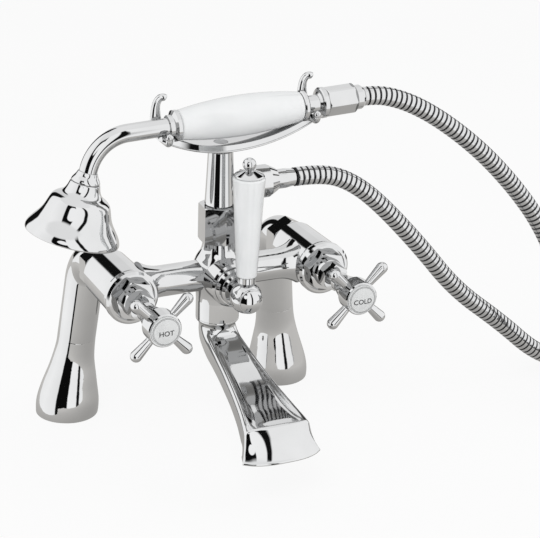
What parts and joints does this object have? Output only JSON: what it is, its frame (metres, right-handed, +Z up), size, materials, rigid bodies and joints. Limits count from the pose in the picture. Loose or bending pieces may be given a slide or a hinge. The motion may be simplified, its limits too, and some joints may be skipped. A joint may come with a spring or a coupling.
{
  "type": "bath shower mixer",
  "caption": "Deck-mounted bath shower mixer with cross handles, lever diverter, bath spout and a cradle that carries a ceramic-gripped handset on a ribbed metal hose.",
  "frame": {"origin": "on the deck, midway between the two inlet legs", "axes": "+Z up, +X towards the cold leg, -Y towards the user, the way the spout, handles and lever face"},
  "size_m": [0.6129, 0.2494, 0.2793],
  "materials": {
    "chrome": "polished chrome plate",
    "white_ceramic": "white glaze",
    "index_enamel": "white enamel",
    "hose_metal": "chromed, ribbed",
    "rubber": "black",
    "fibre": "red fibre",
    "brass": "plain",
    "steel": "plain",
    "valve_ceramic": "lapped",
    "rose_face": "polished chrome plate"
  },
  "bodies": {
    "mixer": {"cold_headwork": "chrome", "cold_leg": "chrome", "cradle_arm": "chrome", "cradle_column": "chrome", "cradle_screw": "steel", "cradle_union_nut": "chrome", "cradle_washer": "fibre", "diverter_flange": "chrome", "diverter_gland": "brass", "fixed_discs": "valve_ceramic", "foot_washers": "rubber", "headwork_orings": "rubber", "hose_coil": "hose_metal", "hose_lower": "hose_metal", "hose_outlet_ferrule": "chrome", "hose_outlet_nut": "chrome", "hose_upper": "hose_metal", "hot_headwork": "chrome", "hot_leg": "chrome", "leg_union_nuts": "chrome", "leg_union_washers": "fibre", "mixer_body": "chrome", "outlet_hose_washer": "rubber", "spout": "chrome", "spout_grub_screw": "steel", "spout_oring": "rubber", "valve_bezels": "chrome"},
    "hot_handle": {"hot_spindle": "brass", "hot_moving_disc": "valve_ceramic", "hot_cross_handle": "chrome", "hot_index_disc": "index_enamel", "hot_handle_screw": "steel"},
    "cold_handle": {"cold_spindle": "brass", "cold_moving_disc": "valve_ceramic", "cold_cross_handle": "chrome", "cold_index_disc": "index_enamel", "cold_handle_screw": "steel"},
    "diverter_lever": {"diverter_spindle": "brass", "lever_hub": "chrome", "lever_hub_cap": "chrome", "lever_hub_screw": "steel", "lever_collar": "chrome", "lever_grip": "white_ceramic", "lever_rod": "steel", "lever_cap": "chrome", "lever_finial": "chrome"},
    "handset": {"handset_pipe": "chrome", "handset_ferrule": "chrome", "handset_grip": "white_ceramic", "handset_end_ring": "chrome", "handset_inlet": "chrome", "bell_collar": "chrome", "bell": "chrome", "rose_plate": "rose_face", "rose_seal": "rubber", "hose_handset_nut": "chrome", "hose_handset_ferrule": "chrome", "handset_hose_washer": "rubber"}
  },
  "joints": [
    {"name": "hot_valve", "type": "hinge", "parent": "mixer", "child": "hot_handle", "pos_m": [-0.076, -0.156, 0.133], "axis": [0, -1, 0], "range_deg": [0, 90]},
    {"name": "cold_valve", "type": "hinge", "parent": "mixer", "child": "cold_handle", "pos_m": [0.076, -0.156, 0.133], "axis": [0, 1, 0], "range_deg": [0, 90]},
    {"name": "diverter_turn", "type": "hinge", "parent": "mixer", "child": "diverter_lever", "pos_m": [0, -0.1295, 0.133], "axis": [0, -1, 0], "range_deg": [-45, 45]},
    {"name": "handset_lift", "type": "slide", "parent": "mixer", "child": "handset", "axis": [0, 0, 1], "range_m": [0, 0.06], "deforming": ["hose_upper"]}
  ]
}
